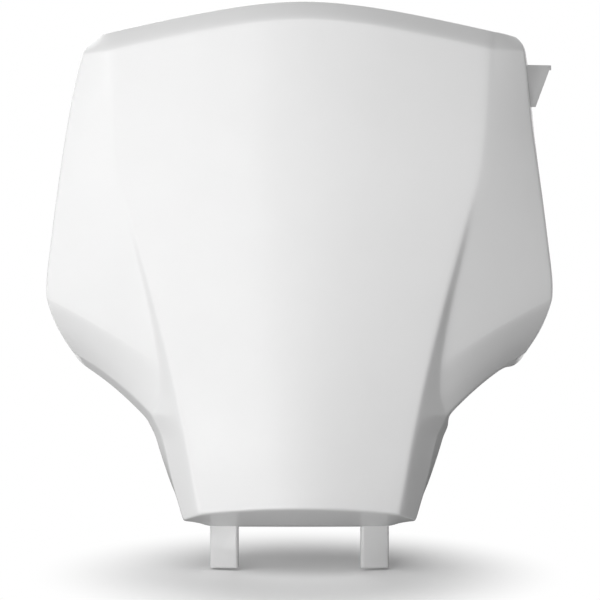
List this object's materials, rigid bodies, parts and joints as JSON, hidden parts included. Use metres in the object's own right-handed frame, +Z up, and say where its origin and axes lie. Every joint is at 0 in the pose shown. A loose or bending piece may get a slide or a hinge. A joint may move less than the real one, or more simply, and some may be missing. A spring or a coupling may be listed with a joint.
{
  "type": "motocross front number board",
  "caption": "Ridged front number board with swept-back wings, a narrowed neck, two lower locating tabs and an upper fixing hole, moulded in one piece.",
  "frame": {"origin": "middle of the upper fixing hole, on the axis of the bolt and half way through the tongue", "axes": "+Z up along the bolt's axis, +Y back towards the rider, +X to the right as seen from the front of the board"},
  "size_m": [0.254, 0.081, 0.2824],
  "materials": {
    "white_plastic": "smooth moulded polypropylene with a soft gloss"
  },
  "bodies": {
    "root": {"number_board": "white_plastic"}
  },
  "joints": []
}
